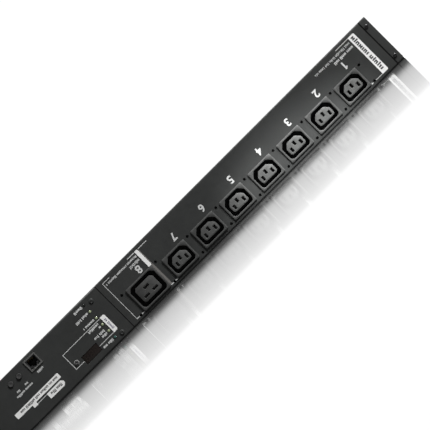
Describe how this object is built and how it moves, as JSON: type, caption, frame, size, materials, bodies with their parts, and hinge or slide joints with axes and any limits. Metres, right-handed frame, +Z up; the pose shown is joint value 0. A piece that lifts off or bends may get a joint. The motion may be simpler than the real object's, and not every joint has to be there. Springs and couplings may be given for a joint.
{
  "type": "rack power strip",
  "caption": "Slim black steel rack power strip with a row of mains sockets, a metering control section with display and network jack, and a mains inlet in one end cap.",
  "frame": {"origin": "middle of the footprint, on the surface that the strip's long edge stands on", "axes": "+X along the strip towards the plain end cap, +Y from the socket face to the rear face, +Z up across the socket face"},
  "size_m": [0.64, 0.0454, 0.066],
  "materials": {
    "cover_paint": "fine-textured black powder coat",
    "channel_paint": "fine-textured black powder coat",
    "cap_paint": "fine-textured black powder coat",
    "socket_plastic": "moulded, satin",
    "large_socket_plastic": "moulded, satin",
    "inlet_plastic": "moulded, satin",
    "nickel": "bright nickel plate",
    "screw_black": "black oxide",
    "tinned_copper": "tinned copper",
    "brass": "bare brass",
    "tray_plastic": "moulded",
    "sheet_plastic": "plain sheet",
    "board_green": "solder mask",
    "module_black": "moulded, satin",
    "nylon": "moulded",
    "smoked_window": "smoked, polished",
    "lamp_green": "clear moulded, lit",
    "lamp_teal": "clear moulded, lit",
    "lamp_off": "clear moulded, dark",
    "button_plastic": "moulded, satin",
    "wire_brown": "PVC insulation",
    "wire_blue": "PVC insulation",
    "wire_green": "PVC insulation",
    "print_white": "screen print and labels",
    "print_dark": "print on the labels",
    "gold_contact": "gold flash"
  },
  "bodies": {
    "case": {"outlet_cover": "cover_paint", "control_cover": "cover_paint", "rear_channel": "channel_paint", "end_cap_plain": "cap_paint", "end_cap_inlet": "cap_paint", "outlet_1": "socket_plastic", "outlet_2": "socket_plastic", "outlet_3": "socket_plastic", "outlet_4": "socket_plastic", "outlet_5": "socket_plastic", "outlet_6": "socket_plastic", "outlet_7": "socket_plastic", "outlet_8": "large_socket_plastic", "inlet_body": "inlet_plastic", "inlet_pin_line": "nickel", "inlet_pin_neutral": "nickel", "inlet_pin_earth": "nickel", "cap_screw_plain_lower": "screw_black", "cap_screw_plain_upper": "screw_black", "cap_screw_inlet_lower": "screw_black", "cap_screw_inlet_upper": "screw_black", "cover_screw_lower": "screw_black", "cover_screw_upper": "screw_black", "inlet_screw_lower": "screw_black", "inlet_screw_upper": "screw_black", "line_busbar": "tinned_copper", "neutral_busbar": "tinned_copper", "earth_busbar": "tinned_copper", "busbar_tray": "tray_plastic", "insulating_sheet": "sheet_plastic", "control_board": "board_green", "board_support_1": "nylon", "board_support_2": "nylon", "board_support_3": "nylon", "board_support_4": "nylon", "power_supply": "module_black", "current_sensor": "module_black", "display_window": "smoked_window", "display_module": "module_black", "led_1": "lamp_teal", "led_2": "lamp_green", "led_3": "lamp_green", "led_4": "lamp_green", "led_5": "lamp_green", "led_6": "lamp_off", "function_switch": "module_black", "power_switch": "module_black", "reset_switch": "module_black", "lan_jack_shell": "nickel", "lan_jack_insert": "module_black", "line_wire": "wire_brown", "neutral_wire": "wire_blue", "earth_wire": "wire_green", "earth_stud": "brass", "earth_bond_wire": "wire_green"},
    "function_button": {"function_button": "button_plastic"},
    "power_button": {"power_button": "button_plastic"},
    "reset_button": {"reset_button": "button_plastic"}
  },
  "joints": [
    {"name": "function_button_press", "type": "slide", "parent": "case", "child": "function_button", "axis": [0, 1, 0], "range_m": [0, 0.0008], "stiffness_N_per_m": 600},
    {"name": "power_button_press", "type": "slide", "parent": "case", "child": "power_button", "axis": [0, 1, 0], "range_m": [0, 0.0008], "stiffness_N_per_m": 600},
    {"name": "reset_button_press", "type": "slide", "parent": "case", "child": "reset_button", "axis": [0, 1, 0], "range_m": [0, 0.0008], "stiffness_N_per_m": 600}
  ]
}
